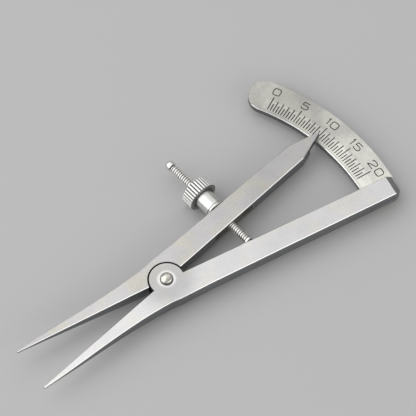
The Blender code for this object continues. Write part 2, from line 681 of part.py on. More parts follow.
def make_end_cap(parts):
    """Domed cap pressed on the screw's spigot."""
    bore = SPIGOT_RADIUS + RUNNING_CLEARANCE
    bore_end = SPIGOT_LENGTH
    straight = CAP_LENGTH * CAP_STRAIGHT_SHARE
    profile = dome(CAP_RADIUS, straight, CAP_LENGTH)
    profile += [(CAP_RADIUS, 0.0), (bore, 0.0), (bore, bore_end), (0.0, bore_end)]
    return turned("screw_end_cap", profile, parts)


def bored_ring(outer, bore, length, edge):
    """Profile of a ring with broken outer edges."""
    return [(bore, length), (outer - edge, length), (outer, length - edge), (outer, edge),
            (outer - edge, 0.0), (bore, 0.0)]


def make_washer(parts):
    """Plain washer between the nut and the pointer arm."""
    profile = bored_ring(WASHER_RADIUS, LAND_RADIUS + RUNNING_CLEARANCE, WASHER_THICKNESS,
                         WASHER_EDGE_BREAK)
    return turned("nut_washer", profile, parts, closed=True)


def make_thumb_nut(parts, cutters):
    """Thumb nut: a smooth sleeve towards the arm and a straight-knurled ring."""
    length = SLEEVE_LENGTH + KNURL_LENGTH
    bore = LAND_RADIUS + RUNNING_CLEARANCE
    profile = [(bore, length), (KNURL_RADIUS - KNURL_CHAMFER, length),
               (KNURL_RADIUS, length - KNURL_CHAMFER), (KNURL_RADIUS, SLEEVE_LENGTH + KNURL_CHAMFER),
               (KNURL_RADIUS - KNURL_CHAMFER, SLEEVE_LENGTH), (SLEEVE_RADIUS, SLEEVE_LENGTH),
               (SLEEVE_RADIUS, SLEEVE_EDGE_BREAK), (SLEEVE_RADIUS - SLEEVE_EDGE_BREAK, 0.0),
               (bore, 0.0)]
    nut = turned("thumb_nut", profile, parts, KNURL_SEGMENTS, closed=True)
    bm = bmesh.new()
    depth = KNURL_DEPTH * 2
    middle = SLEEVE_LENGTH + KNURL_LENGTH / 2
    for i in range(KNURL_COUNT):
        place = Matrix.Rotation(math.radians(360.0) * i / KNURL_COUNT, 4, "Z")
        place @= Matrix.Translation((KNURL_RADIUS + KNURL_DEPTH, 0.0, middle))
        place @= Matrix.Diagonal((depth, KNURL_GROOVE_WIDTH, KNURL_LENGTH + CUTTER_OVERRUN, 1.0))
        bmesh.ops.create_cone(bm, cap_ends=True, segments=4, radius1=1.0, radius2=1.0, depth=1.0,
                              matrix=place)
    combine(nut, as_cutter(mesh_object("knurl_grooves", bm, cutters)), "DIFFERENCE")
    return nut


def washer_place():
    """Distance along the screw from its swivel to the washer's near face."""
    along, below = swivel_from_pointer_arm(0.0)
    (first, wide), (last, narrow) = POINTER_REAR_WIDTH_SHARES
    share = wide + (narrow - wide) * (along / POINTER_SHOULDER - first) / (last - first)
    face = INNER_RELIEF + ARM_WIDTH * share
    return (face + below) / math.cos(SCREW_LEAN) + WASHER_GAP


def joint_axis(name, location, rotation, collection):
    """An empty on a joint's axis, which carries the pieces that move about it."""
    empty = bpy.data.objects.new(name, None)
    empty.location = location
    empty.rotation_euler = rotation
    collection.objects.link(empty)
    return empty


def build():
    """Make every piece and set it on its joint's axis."""
    clear_scene()
    parts = new_collection("dental_caliper")
    cutters = new_collection("cutters")
    scale_arm = make_scale_arm(parts, cutters)
    scale_plate = make_scale_plate(parts, cutters)
    rivet = make_pivot_rivet(parts)
    pin = make_swivel_pin(parts)
    pointer_arm = make_pointer_arm(parts, cutters)
    screw = make_adjusting_screw(parts, cutters)
    cap = make_end_cap(parts)
    washer = make_washer(parts)
    nut = make_thumb_nut(parts, cutters)

    pivot = joint_axis("arm_pivot_axis", (0.0, 0.0, 0.0), (0.0, 0.0, POINTER_ARM_ANGLE), parts)
    pointer_arm.parent = pivot
    upright = math.radians(90.0)
    swivel = joint_axis("swivel_axis", (SWIVEL_ALONG, -SWIVEL_DEPTH, LAP_PLANE),
                        (upright, 0.0, SCREW_ANGLE + upright), parts)
    for obj in (screw, cap, washer, nut):
        obj.parent = swivel
    cap.location.z = LAND_END + SEAT_GAP
    washer.location.z = washer_place()
    nut.location.z = washer.location.z + WASHER_THICKNESS + RUNNING_CLEARANCE

    finishes = (
        (scale_arm, "scale_arm_steel", (0.62, 0.61, 0.60), 0.34),
        (scale_plate, "scale_plate_steel", (0.70, 0.69, 0.66), 0.36),
        (pointer_arm, "pointer_arm_steel", (0.62, 0.61, 0.60), 0.34),
        (rivet, "rivet_steel", (0.74, 0.73, 0.72), 0.14),
        (pin, "swivel_pin_steel", (0.60, 0.60, 0.60), 0.30),
        (screw, "screw_steel", (0.55, 0.55, 0.56), 0.24),
        (cap, "end_cap_steel", (0.66, 0.66, 0.66), 0.18),
        (washer, "washer_steel", (0.68, 0.68, 0.68), 0.18),
        (nut, "thumb_nut_steel", (0.66, 0.66, 0.67), 0.16),
    )
    for obj, material_name, color, roughness in finishes:
        obj.data.materials.append(steel(material_name, color, roughness))
    for obj in (scale_arm, scale_plate, pointer_arm, pin):
        shade(obj)


build()
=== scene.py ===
"""Looks of the dental caliper: steels, blackened engraving, fine turned pieces, floor, lights and camera."""
import json
import math
from types import SimpleNamespace

import bmesh
import bpy
from mathutils import Matrix, Vector


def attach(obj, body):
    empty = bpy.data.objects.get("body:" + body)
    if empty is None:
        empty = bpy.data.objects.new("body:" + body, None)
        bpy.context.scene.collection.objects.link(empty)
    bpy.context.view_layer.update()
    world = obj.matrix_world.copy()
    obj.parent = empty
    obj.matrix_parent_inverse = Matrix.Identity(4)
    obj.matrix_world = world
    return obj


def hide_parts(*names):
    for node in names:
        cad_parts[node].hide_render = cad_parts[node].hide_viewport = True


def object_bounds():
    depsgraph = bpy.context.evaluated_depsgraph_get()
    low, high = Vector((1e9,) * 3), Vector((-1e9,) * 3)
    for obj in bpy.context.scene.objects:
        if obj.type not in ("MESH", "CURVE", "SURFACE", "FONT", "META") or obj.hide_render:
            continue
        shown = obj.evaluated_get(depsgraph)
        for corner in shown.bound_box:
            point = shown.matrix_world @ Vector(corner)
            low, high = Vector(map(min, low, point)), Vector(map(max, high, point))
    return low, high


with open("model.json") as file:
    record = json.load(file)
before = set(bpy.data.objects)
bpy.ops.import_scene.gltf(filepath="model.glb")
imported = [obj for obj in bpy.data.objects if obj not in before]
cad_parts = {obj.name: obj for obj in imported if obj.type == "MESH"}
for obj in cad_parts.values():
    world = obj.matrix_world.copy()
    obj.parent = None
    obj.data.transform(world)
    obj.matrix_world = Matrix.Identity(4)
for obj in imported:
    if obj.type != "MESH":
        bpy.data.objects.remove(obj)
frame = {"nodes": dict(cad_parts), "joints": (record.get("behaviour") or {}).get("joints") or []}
rest_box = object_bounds()
nodes = frame["nodes"]
joints = {joint["name"]: joint for joint in frame["joints"]}

MM = 0.001
SCREW_FOOT = Vector(joints["nut_spin"]["pos_m"])
SCREW_AXIS = Vector(joints["nut_spin"]["axis"])
UPRIGHT = Vector((0.0, 0.0, 1.0))
PIVOT = Vector((0.0, 0.0, 0.0))

# Camera, fitted to the photograph: millimetres from the pivot's foot, turns, and pixels
CAMERA_PLACE = (-77.79, -189.80, 407.58)
CAMERA_HEADING = math.radians(64.97)
CAMERA_ELEVATION = math.radians(61.19)
CAMERA_ROLL = math.radians(2.6)
FOCAL_PIXELS = 2056.0
IMAGE_SIZE = 416
SENSOR_WIDTH = 36.0
CLIP_START = 0.01
CLIP_END = 10.0

# Lamps: the direction they stand in from the object, size in metres, and radiance
LAMP_CENTRE = (0.01, 0.005, 0.0)
LAMP_DISTANCE = 0.9
LAMPS = {
    "main_softbox": ((-0.55, 0.30, 0.80), (1.1, 1.1), 0.95),
    "top_softbox": ((0.30, 0.50, 0.81), (0.9, 0.9), 0.42),
    "front_softbox": ((0.30, -0.84, 0.45), (1.2, 0.4), 1.0),
    "left_softbox": ((-0.93, -0.08, 0.37), (0.9, 0.4), 1.0),
}

# Surroundings: the sky brightens from the horizon up to a height on the unit sphere
WORLD_LOW = (0.30, 0.30, 0.30)
WORLD_HIGH = (0.42, 0.42, 0.42)
SKY_HEIGHT = 0.9
FLOOR_REACH = 3.0
FLOOR_COLOR = (0.60, 0.60, 0.60)
FLOOR_ROUGHNESS = 0.9

# Noise fields: cells in a metre along each axis, detail, and shift
GRAIN = ((150.0, 4200.0, 4200.0), 3.0, 0.0)
SCRATCH = ((420.0, 15000.0, 15000.0), 2.0, 7.3)
CLOUD = ((160.0, 160.0, 160.0), 4.0, 0.0)
HUE = ((210.0, 210.0, 210.0), 3.0, 31.0)
SPECK = ((3800.0, 3800.0, 3800.0), 2.0, 11.0)
RINGS = ((9000.0, 1.0, 1.0), 3.0, 0.0)
SMUDGE = ((420.0, 420.0, 420.0), 3.0, 0.0)

# How far each noise swings a steel's tone or roughness, and where the hue noise changes its tint
GRAIN_SWING = 0.09
SCRATCH_SWING = 0.08
WEAR_AND_SHEEN_SWING = 0.5
CLOUD_ROUGH_SWING = 0.3
SCRATCH_ROUGH_SWING = 0.25
TURNED_SWING = 0.12
SMUDGE_ROUGH_SWING = 0.6
RINGS_ROUGH_SWING = 0.3
HUE_SPAN = (0.40, 0.60)

# Faces told apart by the upright part of their normal, and the bevelled end by its part along X
TOP_FACING = (0.90, 0.97)
EDGE_FACING = (0.45, 0.93)
BEVEL_FACING = (0.60, 0.85)
BEVEL_TURN = (0.5, 0.6)
SIDE_FACING = (0.4, 0.3)
FACING_BLUR = 0.03

# Colours that several finishes share
# Painted highlight: on worn edges, on the rivet's burnished ring and at the bevel's foot
HIGHLIGHT_COLOR = (0.92, 0.92, 0.91)
# Painted shade on the side walls
SIDE_SHADE_COLOR = (0.27, 0.275, 0.285)
# Painted shade on the bevelled end
BEVEL_SHADE_COLOR = (0.30, 0.31, 0.30)
# Painted shade for the recess, the seam by the arm and the nut's corner
PAINTED_SHADE_COLOR = (0.05, 0.05, 0.05)
POLISHED_COLOR = (0.84, 0.835, 0.81)
# Painted shade in the grooves of the knurl and thread and round the rivet's rim
GROOVE_SHADE_COLOR = (0.12, 0.12, 0.12)
FILL_COLOR = (0.008, 0.008, 0.009)

# Roughness, the shares of edge wear with its painted highlight and of painted shade in the colour, and the
# height of the relief
SATIN_ROUGHNESS = 0.38
EDGE_ROUGHNESS = 0.25
RING_ROUGHNESS = 0.28
RECESS_ROUGHNESS = 0.7
FILL_ROUGHNESS = 0.6
GROOVE_ROUGHNESS = 0.45
CORNER_ROUGHNESS = 0.5
WEAR_AND_SHEEN_SHARE = 0.9
SHADE_SHARE = 0.85
SATIN_RELIEF = 0.003 * MM
TURNED_RELIEF = 0.0015 * MM

# Satin steels: the grain's heading, two tints, and how far clouds and flecks swing the tone
SCALE_ARM_STEEL = {
    "heading": 0.0,
    "warm": (0.79, 0.78, 0.745),
    "cool": (0.775, 0.765, 0.775),
    "contrast": 0.26,
    "fleck": 0.22,
}
POINTER_STEEL = {
    "heading": math.radians(17.15),
    "warm": (0.655, 0.637, 0.58),
    "cool": (0.63, 0.618, 0.622),
    "contrast": 0.30,
    "fleck": 0.36,
}
PLATE_STEEL = {
    "heading": math.radians(20.0),
    "warm": (0.82, 0.812, 0.74),
    "cool": (0.70, 0.69, 0.645),
    "contrast": 0.35,
    "fleck": 0.42,
}

# Turned steels. A groove is rougher and painted with shade inside its first radius, plain outside its
# second, and plain again inside its third. A corner is painted with shade between its two places on
# the axis, and the shade fades out from its first radius to its second.
PIN_STEEL = {"color": (0.655, 0.637, 0.58), "roughness": 0.3}
SCREW_STEEL = {
    "color": (0.93, 0.92, 0.89),
    "roughness": 0.32,
    "groove": (0.77 * MM, 0.90 * MM, 0.1 * MM),
}
CAP_STEEL = {"color": POLISHED_COLOR, "roughness": 0.2}
NUT_STEEL = {
    "color": POLISHED_COLOR,
    "roughness": 0.29,
    "groove": (3.57 * MM, 3.71 * MM, 3.4 * MM),
    "corner": (18.5 * MM, 18.66 * MM, 2.3 * MM, 4.3 * MM),
}
RIVET_STEEL = {
    "color": (0.80, 0.78, 0.70),
    "roughness": 0.28,
    "groove": (1.6 * MM, 1.7 * MM, 1.36 * MM),
}
GROOVE_BLUR_SHARE = 1.01
CORNER_BLUR = 0.02 * MM

# Plate: the heights of the engraving's filling, the field of ticks and numbers between two radii,
# above a least Y and below a slope from the pivot, the painted highlight on the face between the
# ticks, and the painted shade at the seam by the arm
FILL_LOW = 1.545 * MM
FILL_HIGH = 1.678 * MM
FILL_BLUR = 0.005 * MM
FIELD_INNER = 49.9 * MM
FIELD_OUTER = 56.9 * MM
FIELD_LEAST = 0.8 * MM
FIELD_END = math.tan(math.radians(37.3))
TICKS_OUTER = 52.7 * MM
TICKS_BLUR = 0.15 * MM
TICKS_HIGHLIGHT = 1.16
SEAM_BLUR = 0.3 * MM

# Broad tones: painted highlight and shade on the plate along Y, and the arms darker by their distance from
# the pivot
PLATE_SHADE_NONE = 3.0 * MM
PLATE_SHADE_FULL = 28.0 * MM
PLATE_SHADE_LESS = 30.0 * MM
PLATE_SHADE_LEAST = 37.0 * MM
PLATE_SHADE_END_SHARE = 0.5
PLATE_HIGHLIGHT = 1.08
PLATE_SHADE = 0.68
POINTER_DARKER_FROM = 12.0 * MM
POINTER_DARKER_TO = 42.0 * MM
POINTER_DARKER = 0.84
DISC_DARKER_FROM = 8.5 * MM
DISC_DARKER_TO = 3.5 * MM
DISC_DARKER = 0.77

# Places by the pivot and on the bevelled end: burnished ring with a painted highlight, painted shade in the
# recess, and a painted highlight at the bevel's foot
RING_INNER = 1.65 * MM
RING_OUTER = 2.4 * MM
RECESS_RADIUS = 4.35 * MM
RECESS_OUTSIDE = 4.3935 * MM
RECESS_TOP = 3.48 * MM
RECESS_DARK = 3.3756 * MM
BEVEL_FOOT = 1.98 * MM
BEVEL_FOOT_END = 2.0592 * MM

# Screw, measured from its swivel
THREAD_RADIUS = 0.95 * MM
THREAD_DEPTH = 0.25 * MM
THREAD_PITCH = 0.585 * MM
THREAD_START = 3.3 * MM
THREAD_FADE = 29.05 * MM
THREAD_END = 29.15 * MM
THREAD_RUN_OUT = 0.18 * MM
THREAD_RISE_SHARES = (0.0, 0.8, 1.0, 1.0, 1.0, 0.8)
THREAD_SEGMENTS = 32
MERGE_DISTANCE = 0.0001 * MM
COLLAR_START = 3.25 * MM
COLLAR_END = 3.87 * MM
COLLAR_RADIUS = 1.05 * MM
NECK_RADIUS = 0.75 * MM
SPIGOT_RADIUS = 0.5 * MM
SPIGOT_START = 28.85 * MM
SPIGOT_END = 29.95 * MM
EYE_RADIUS = 1.45 * MM
EYE_HEIGHT = 2.1 * MM
EYE_BORE = 0.66 * MM

# End cap
CAP_PLACE = 29.18 * MM
CAP_RADIUS = 1.15 * MM
CAP_LENGTH = 1.85 * MM
CAP_STRAIGHT = 0.83 * MM
CAP_BORE = 0.56 * MM
CAP_BORE_END = 0.85 * MM

# Washer and thumb nut
BORE_RADIUS = 1.06 * MM
BORE_CHAMFER = 0.25 * MM
WASHER_PLACE = 14.275 * MM
WASHER_THICKNESS = 0.5 * MM
WASHER_RADIUS = 2.25 * MM
NUT_PLACE = 14.835 * MM
SLEEVE_RADIUS = 2.25 * MM
SLEEVE_LENGTH = 3.8 * MM
KNURL_RADIUS = 3.74 * MM
KNURL_LENGTH = 3.0 * MM
KNURL_DEPTH = 0.24 * MM
KNURL_COUNT = 30

# One rib of the knurl: places along its pitch, how deep the groove is there, and the slack in a place
KNURL_PITCH_SHARES = (0.0, 0.1, 0.2, 0.3, 0.5, 0.7, 0.8, 0.9)
KNURL_DEPTH_SHARES = (1.0, 0.85, 0.3, 0.05, 0.0, 0.05, 0.3, 0.85)
KNURL_SLACK_SHARE = 0.001

# Rivet
RIVET_SEAT = 3.58 * MM
RIVET_RADIUS = 1.1 * MM
RIVET_HEAD_RADIUS = 1.5 * MM
RIVET_HEAD_RIM = 0.18 * MM
RIVET_HEAD_HEIGHT = 1.1 * MM
RIVET_TAIL_RADIUS = 1.6 * MM
RIVET_TAIL_DEPTH = 0.5 * MM

# Turned shapes: steps round a turn, over a dome and round a corner, how a corner is rounded, and
# the angle from which an edge is shaded sharp
ROUND_SEGMENTS = 96
DOME_STEPS = 14
CORNER_STEPS = 4
EDGE_ROUNDING = 0.12 * MM
ROUNDING_SHARE = 0.4
STRAIGHT_ANGLE = math.radians(155.0)
SHARP_ANGLE = math.radians(40.0)

# The Mix node's sockets for each kind of value: first, second and result
MIX_SOCKETS = {"FLOAT": (2, 3, 0), "RGBA": (6, 7, 2)}


def direction(heading, elevation):
    """Unit vector at a heading in the plane, sloping down by the elevation."""
    level = math.cos(elevation)
    return Vector((level * math.cos(heading), level * math.sin(heading), -math.sin(elevation)))


def make_camera():
    """The photograph's viewpoint."""
    data = bpy.data.cameras.new("photo_camera")
    data.sensor_width = SENSOR_WIDTH
    data.lens = FOCAL_PIXELS * SENSOR_WIDTH / IMAGE_SIZE
    data.clip_start = CLIP_START
    data.clip_end = CLIP_END
    camera = bpy.data.objects.new("photo_camera", data)
    bpy.context.scene.collection.objects.link(camera)
    forward = direction(CAMERA_HEADING, CAMERA_ELEVATION)
    level_right = forward.cross(UPRIGHT).normalized()
    level_down = forward.cross(level_right)
    right = level_right * math.cos(CAMERA_ROLL) + level_down * math.sin(CAMERA_ROLL)
    down = forward.cross(right)
    camera.matrix_world = Matrix.Translation(Vector(CAMERA_PLACE) * MM) @ Matrix(
        (right, -down, -forward)).transposed().to_4x4()
    bpy.context.scene.camera = camera


def softbox(name, toward, size, radiance):
    """A rectangular lamp that faces the object and is seen in reflections only."""
    data = bpy.data.lights.new(name, "AREA")
    data.shape = "RECTANGLE"
    data.size, data.size_y = size
    data.energy = radiance * math.pi * size[0] * size[1]
    lamp = bpy.data.objects.new(name, data)
    away = Vector(toward).normalized()
    lamp.location = Vector(LAMP_CENTRE) + away * LAMP_DISTANCE
    lamp.rotation_mode = "QUATERNION"
    lamp.rotation_quaternion = (-away).to_track_quat("-Z", "Y")
    lamp.visible_camera = False
    bpy.context.scene.collection.objects.link(lamp)


def make_floor():
    """A plain pale floor at the object's lowest point."""
    bm = bmesh.new()
    bmesh.ops.create_grid(bm, x_segments=1, y_segments=1, size=FLOOR_REACH)
    mesh = bpy.data.meshes.new("floor")
    bm.to_mesh(mesh)
    bm.free()
    floor = bpy.data.objects.new("floor", mesh)
    floor.location.z = rest_box[0].z
    material = bpy.data.materials.new("floor")
    material.use_nodes = True
    shader = material.node_tree.nodes["Principled BSDF"]
    shader.inputs["Base Color"].default_value = (*FLOOR_COLOR, 1.0)
    shader.inputs["Roughness"].default_value = FLOOR_ROUGHNESS
    mesh.materials.append(material)
    bpy.context.scene.collection.objects.link(floor)


def make_world():
    """Soft studio surroundings, brighter overhead than at the horizon."""
    world = bpy.data.worlds.new("studio")
    bpy.context.scene.world = world
    world.use_nodes = True
    tree = world.node_tree
    heading = add(tree, "ShaderNodeTexCoord").outputs["Generated"]
    height = add(tree, "ShaderNodeSeparateXYZ", {"Vector": heading}).outputs["Z"]
    rise = fade(tree, height, 0.0, SKY_HEIGHT)
    sky = mix(tree, rise, WORLD_LOW, WORLD_HIGH)
    feed(tree, tree.nodes["Background"].inputs["Color"], sky)


def feed(tree, socket, value):
    """Give a socket a link or a value; a colour may come without its alpha."""
    if isinstance(value, bpy.types.NodeSocket):
        tree.links.new(value, socket)
    elif socket.type == "RGBA" and len(value) == 3:
        socket.default_value = (*value, 1.0)
    else:
        socket.default_value = value


def add(tree, kind, inputs=None, **settings):
    """Add a node with its settings and inputs."""
    node = tree.nodes.new(kind)
    for name, value in settings.items():
        setattr(node, name, value)
    for name, value in (inputs or {}).items():
        feed(tree, node.inputs[name], value)
    return node


def calc(tree, operation, *values):
    """The result of one Math node."""
    node = add(tree, "ShaderNodeMath", operation=operation)
    for socket, value in zip(node.inputs, values):
        feed(tree, socket, value)
    return node.outputs[0]


def fade(tree, value, start, end):
    """0 up to the start and 1 from the end on, smooth between."""
    inputs = {"Value": value, "From Min": start, "From Max": end}
    return add(tree, "ShaderNodeMapRange", inputs, interpolation_type="SMOOTHSTEP").outputs["Result"]


def band(tree, value, low, high, blur):
    """1 between two values and 0 outside them, with blurred ends."""
    rise = fade(tree, value, low - blur, low + blur)
    fall = fade(tree, value, high + blur, high - blur)
    return product(tree, rise, fall)


def mix(tree, factor, first, second, kind="RGBA"):
    """A colour between two, or another kind of value."""
    low, high, result = MIX_SOCKETS[kind]
    node = add(tree, "ShaderNodeMix", {"Factor": factor}, data_type=kind)
    feed(tree, node.inputs[low], first)
    feed(tree, node.inputs[high], second)
    return node.outputs[result]


def blend(tree, factor, first, second):
    """A number between two."""
    return mix(tree, factor, first, second, "FLOAT")


def product(tree, *factors):
    """Several numbers multiplied together."""
    result = factors[0]
    for factor in factors[1:]:
        result = calc(tree, "MULTIPLY", result, factor)
    return result


def vector_calc(tree, operation, *values, output=0):
    """The result of one Vector Math node."""
    node = add(tree, "ShaderNodeVectorMath", operation=operation)
    for socket, value in zip(node.inputs, values):
        feed(tree, socket, value)
    return node.outputs[output]


def noise(tree, vector, field):
    """Noise from 0 to 1 in one of the noise fields."""
    stretch, detail, shift = field
    scaled = vector_calc(tree, "MULTIPLY", vector, stretch)
    moved = vector_calc(tree, "ADD", scaled, (shift, shift, shift))
    return add(tree, "ShaderNodeTexNoise", {"Vector": moved, "Scale": 1.0, "Detail": detail}).outputs[0]


def around(tree, value, swing):
    """A factor about 1 that swings with a noise."""
    return calc(tree, "MULTIPLY_ADD", value, swing, 1.0 - swing / 2)


def tinted(tree, color, factor):
    """A colour times a factor."""
    inputs = {"Vector": color, "Scale": factor}
    return add(tree, "ShaderNodeVectorMath", inputs, operation="SCALE").outputs[0]


def rest_place(tree):
    """The surface's place at rest, in metres."""
    return add(tree, "ShaderNodeTexCoord").outputs["Object"]


def split(tree, vector):
    """The X, Y and Z of a vector."""
    return add(tree, "ShaderNodeSeparateXYZ", {"Vector": vector}).outputs


def new_steel(name):
    """A metal material, with its node tree and shader."""
    material = bpy.data.materials.new(name)
    material.use_nodes = True
    shader = material.node_tree.nodes["Principled BSDF"]
    shader.inputs["Metallic"].default_value = 1.0
    return material, material.node_tree, shader


def finish_steel(tree, shader, color, roughness, height, relief):
    """Link a steel's colour, roughness and relief in metres."""
    feed(tree, shader.inputs["Base Color"], color)
    feed(tree, shader.inputs["Roughness"], roughness)
    bump = add(tree, "ShaderNodeBump", {"Height": height, "Distance": relief, "Strength": 1.0})
    feed(tree, shader.inputs["Normal"], bump.outputs["Normal"])


def pivot_distance(tree, place):
    """How far the surface is from the pivot's axis."""
    across = vector_calc(tree, "MULTIPLY", place, (1.0, 1.0, 0.0))
    return vector_calc(tree, "LENGTH", across, output="Value")


def satin_steel(name, marks, heading, warm, cool, contrast, fleck):
    """Satin flat stock with grain, clouds of tint, worn edges with a painted highlight, painted shade on the
    sides and the bevel, and the piece's own marks.
    """
    material, tree, shader = new_steel(name)
    place = rest_place(tree)
    axes = split(tree, place)
    facing = split(tree, add(tree, "ShaderNodeNewGeometry").outputs["True Normal"])
    flat = calc(tree, "ABSOLUTE", facing["Z"])
    bevel = product(tree, fade(tree, facing["X"], *BEVEL_TURN),
                    band(tree, flat, *BEVEL_FACING, FACING_BLUR))
    edge = product(tree, band(tree, flat, *EDGE_FACING, FACING_BLUR),
                   calc(tree, "SUBTRACT", 1.0, bevel))
    side = fade(tree, flat, *SIDE_FACING)

    turned = add(tree, "ShaderNodeVectorRotate", {"Vector": place, "Angle": -heading},
                 rotation_type="Z_AXIS").outputs[0]
    grain = noise(tree, turned, GRAIN)
    scratch = noise(tree, turned, SCRATCH)
    cloud = noise(tree, place, CLOUD)
    hue = noise(tree, place, HUE)
    speck = noise(tree, place, SPECK)

    tone = product(tree, around(tree, grain, GRAIN_SWING), around(tree, cloud, contrast),
                   around(tree, scratch, SCRATCH_SWING), around(tree, speck, fleck))
    color = mix(tree, fade(tree, hue, *HUE_SPAN), warm, cool)
    # The side walls take a painted shade
    color = mix(tree, side, color, SIDE_SHADE_COLOR)
    # Painted shade on the bevelled end, with a painted highlight at its foot
    foot = fade(tree, axes["Z"], BEVEL_FOOT_END, BEVEL_FOOT)
    color = mix(tree, bevel, color, mix(tree, foot, BEVEL_SHADE_COLOR, HIGHLIGHT_COLOR))
    color = tinted(tree, color, tone)
    # Worn edges, smoother and painted with a highlight
    wear_and_sheen = product(tree, edge, around(tree, cloud, WEAR_AND_SHEEN_SWING), WEAR_AND_SHEEN_SHARE)
    color = mix(tree, wear_and_sheen, color, HIGHLIGHT_COLOR)

    roughness = product(tree, around(tree, cloud, CLOUD_ROUGH_SWING),
                        around(tree, scratch, SCRATCH_ROUGH_SWING), SATIN_ROUGHNESS)
    roughness = blend(tree, edge, roughness, EDGE_ROUGHNESS)
    spread = pivot_distance(tree, place)
    skin = SimpleNamespace(tree=tree, shader=shader, axes=axes, flat=flat, spread=spread)
    color, roughness = marks(skin, color, roughness)
    height = calc(tree, "ADD", calc(tree, "ADD", grain, scratch), speck)
    finish_steel(tree, shader, color, roughness, height, SATIN_RELIEF)
    return material


def burnished_ring_highlight(skin, color, roughness):
    """A burnished ring round the rivet's head, smoother and painted brighter as a highlight, with the face
    round it darker towards the pivot.
    """
    tree = skin.tree
    darkened = fade(tree, skin.spread, DISC_DARKER_FROM, DISC_DARKER_TO)
    color = tinted(tree, color, blend(tree, darkened, 1.0, DISC_DARKER))
    # Burnished ring: smoother, and painted with a highlight
    ring = product(tree, fade(tree, skin.spread, RING_OUTER, RING_INNER),
                   fade(tree, skin.flat, *TOP_FACING))
    return mix(tree, ring, color, HIGHLIGHT_COLOR), blend(tree, ring, roughness, RING_ROUGHNESS)


def dark_recess(skin, color, roughness):
    """Painted shade in the narrow recess round the pivot's disc, and a darker tone towards the pointer."""
    tree = skin.tree
    darkened = fade(tree, skin.spread, POINTER_DARKER_FROM, POINTER_DARKER_TO)
    color = tinted(tree, color, blend(tree, darkened, 1.0, POINTER_DARKER))
    # Painted shade in the recess
    painted_shade = product(tree, fade(tree, skin.spread, RECESS_OUTSIDE, RECESS_RADIUS),
                    fade(tree, skin.axes["Z"], RECESS_TOP, RECESS_DARK))
    return mix(tree, painted_shade, color, PAINTED_SHADE_COLOR), blend(tree, painted_shade, roughness, RECESS_ROUGHNESS)


def filled_engraving(skin, color, roughness):
    """Black filling in the engraving, a painted highlight between the ticks, painted highlight and shade
    along the plate, and painted shade at the seam.
    """
    tree = skin.tree
    height = skin.axes["Y"]
    turn = calc(tree, "DIVIDE", height, skin.axes["X"])
    field = product(tree, calc(tree, "GREATER_THAN", height, FIELD_LEAST),
                    calc(tree, "LESS_THAN", turn, FIELD_END))
    fill = product(tree, band(tree, skin.axes["Z"], FILL_LOW, FILL_HIGH, FILL_BLUR), field,
                   calc(tree, "GREATER_THAN", skin.spread, FIELD_INNER),
                   calc(tree, "LESS_THAN", skin.spread, FIELD_OUTER))
    # Painted highlight on the face between the ticks
    ticks_highlight = product(tree, field, band(tree, skin.spread, FIELD_INNER, TICKS_OUTER, TICKS_BLUR))
    color = tinted(tree, color, blend(tree, ticks_highlight, 1.0, TICKS_HIGHLIGHT))
    # Painted highlight at low Y and painted shade further along the plate
    ending = fade(tree, height, PLATE_SHADE_LESS, PLATE_SHADE_LEAST)
    plate_gradient = product(tree, fade(tree, height, PLATE_SHADE_NONE, PLATE_SHADE_FULL),
                      blend(tree, ending, 1.0, PLATE_SHADE_END_SHARE))
    color = tinted(tree, color, blend(tree, plate_gradient, PLATE_HIGHLIGHT, PLATE_SHADE))
    # Painted shade at the seam by the arm
    seam = product(tree, fade(tree, height, 0.0, -SEAM_BLUR),
                   band(tree, skin.flat, *EDGE_FACING, FACING_BLUR))
    color = mix(tree, seam, color, PAINTED_SHADE_COLOR)
    feed(tree, skin.shader.inputs["Metallic"], calc(tree, "SUBTRACT", 1.0, fill))
    return mix(tree, fill, color, FILL_COLOR), blend(tree, fill, roughness, FILL_ROUGHNESS)


def turned_steel(name, foot, axis, color, roughness, groove=None, corner=None):
    """Polished turned steel: fine rings about an axis, smudges, rougher grooves with painted shade, and
    painted shade in a corner.
    """
    material, tree, shader = new_steel(name)
    place = rest_place(tree)
    reach = vector_calc(tree, "SUBTRACT", place, tuple(foot))
    along = vector_calc(tree, "DOT_PRODUCT", reach, tuple(axis), output="Value")
    spoke = vector_calc(tree, "SUBTRACT", reach, tinted(tree, tuple(axis), along))
    radius = vector_calc(tree, "LENGTH", spoke, output="Value")
    ring_place = add(tree, "ShaderNodeCombineXYZ", {"X": calc(tree, "ADD", along, radius)}).outputs[0]
    rings = noise(tree, ring_place, RINGS)
    smudge = noise(tree, place, SMUDGE)
    tone = product(tree, around(tree, rings, TURNED_SWING), around(tree, smudge, TURNED_SWING))
    shade = tinted(tree, color, tone)
    rough = product(tree, around(tree, smudge, SMUDGE_ROUGH_SWING),
                    around(tree, rings, RINGS_ROUGH_SWING), roughness)
    if groove:
        dark, clean, core = groove
        darkened = product(tree, fade(tree, radius, clean, dark),
                       fade(tree, radius, core, core * GROOVE_BLUR_SHARE))
        # Painted shade in the groove
        shade = mix(tree, product(tree, darkened, SHADE_SHARE), shade, GROOVE_SHADE_COLOR)
        rough = blend(tree, darkened, rough, GROOVE_ROUGHNESS)
    if corner:
        near, far, inner, outer = corner
        # Painted shade on the knurled ring's face by the sleeve
        painted_shade = product(tree, band(tree, along, near, far, CORNER_BLUR),
                        fade(tree, radius, outer, inner))
        shade = mix(tree, product(tree, painted_shade, SHADE_SHARE), shade, PAINTED_SHADE_COLOR)
        rough = blend(tree, painted_shade, rough, CORNER_ROUGHNESS)
    finish_steel(tree, shader, shade, rough, rings, TURNED_RELIEF)
    return material


def dress(node, material):
    """Give a CAD node its finish."""
    mesh = nodes[node].data
    mesh.materials.clear()
    mesh.materials.append(material)


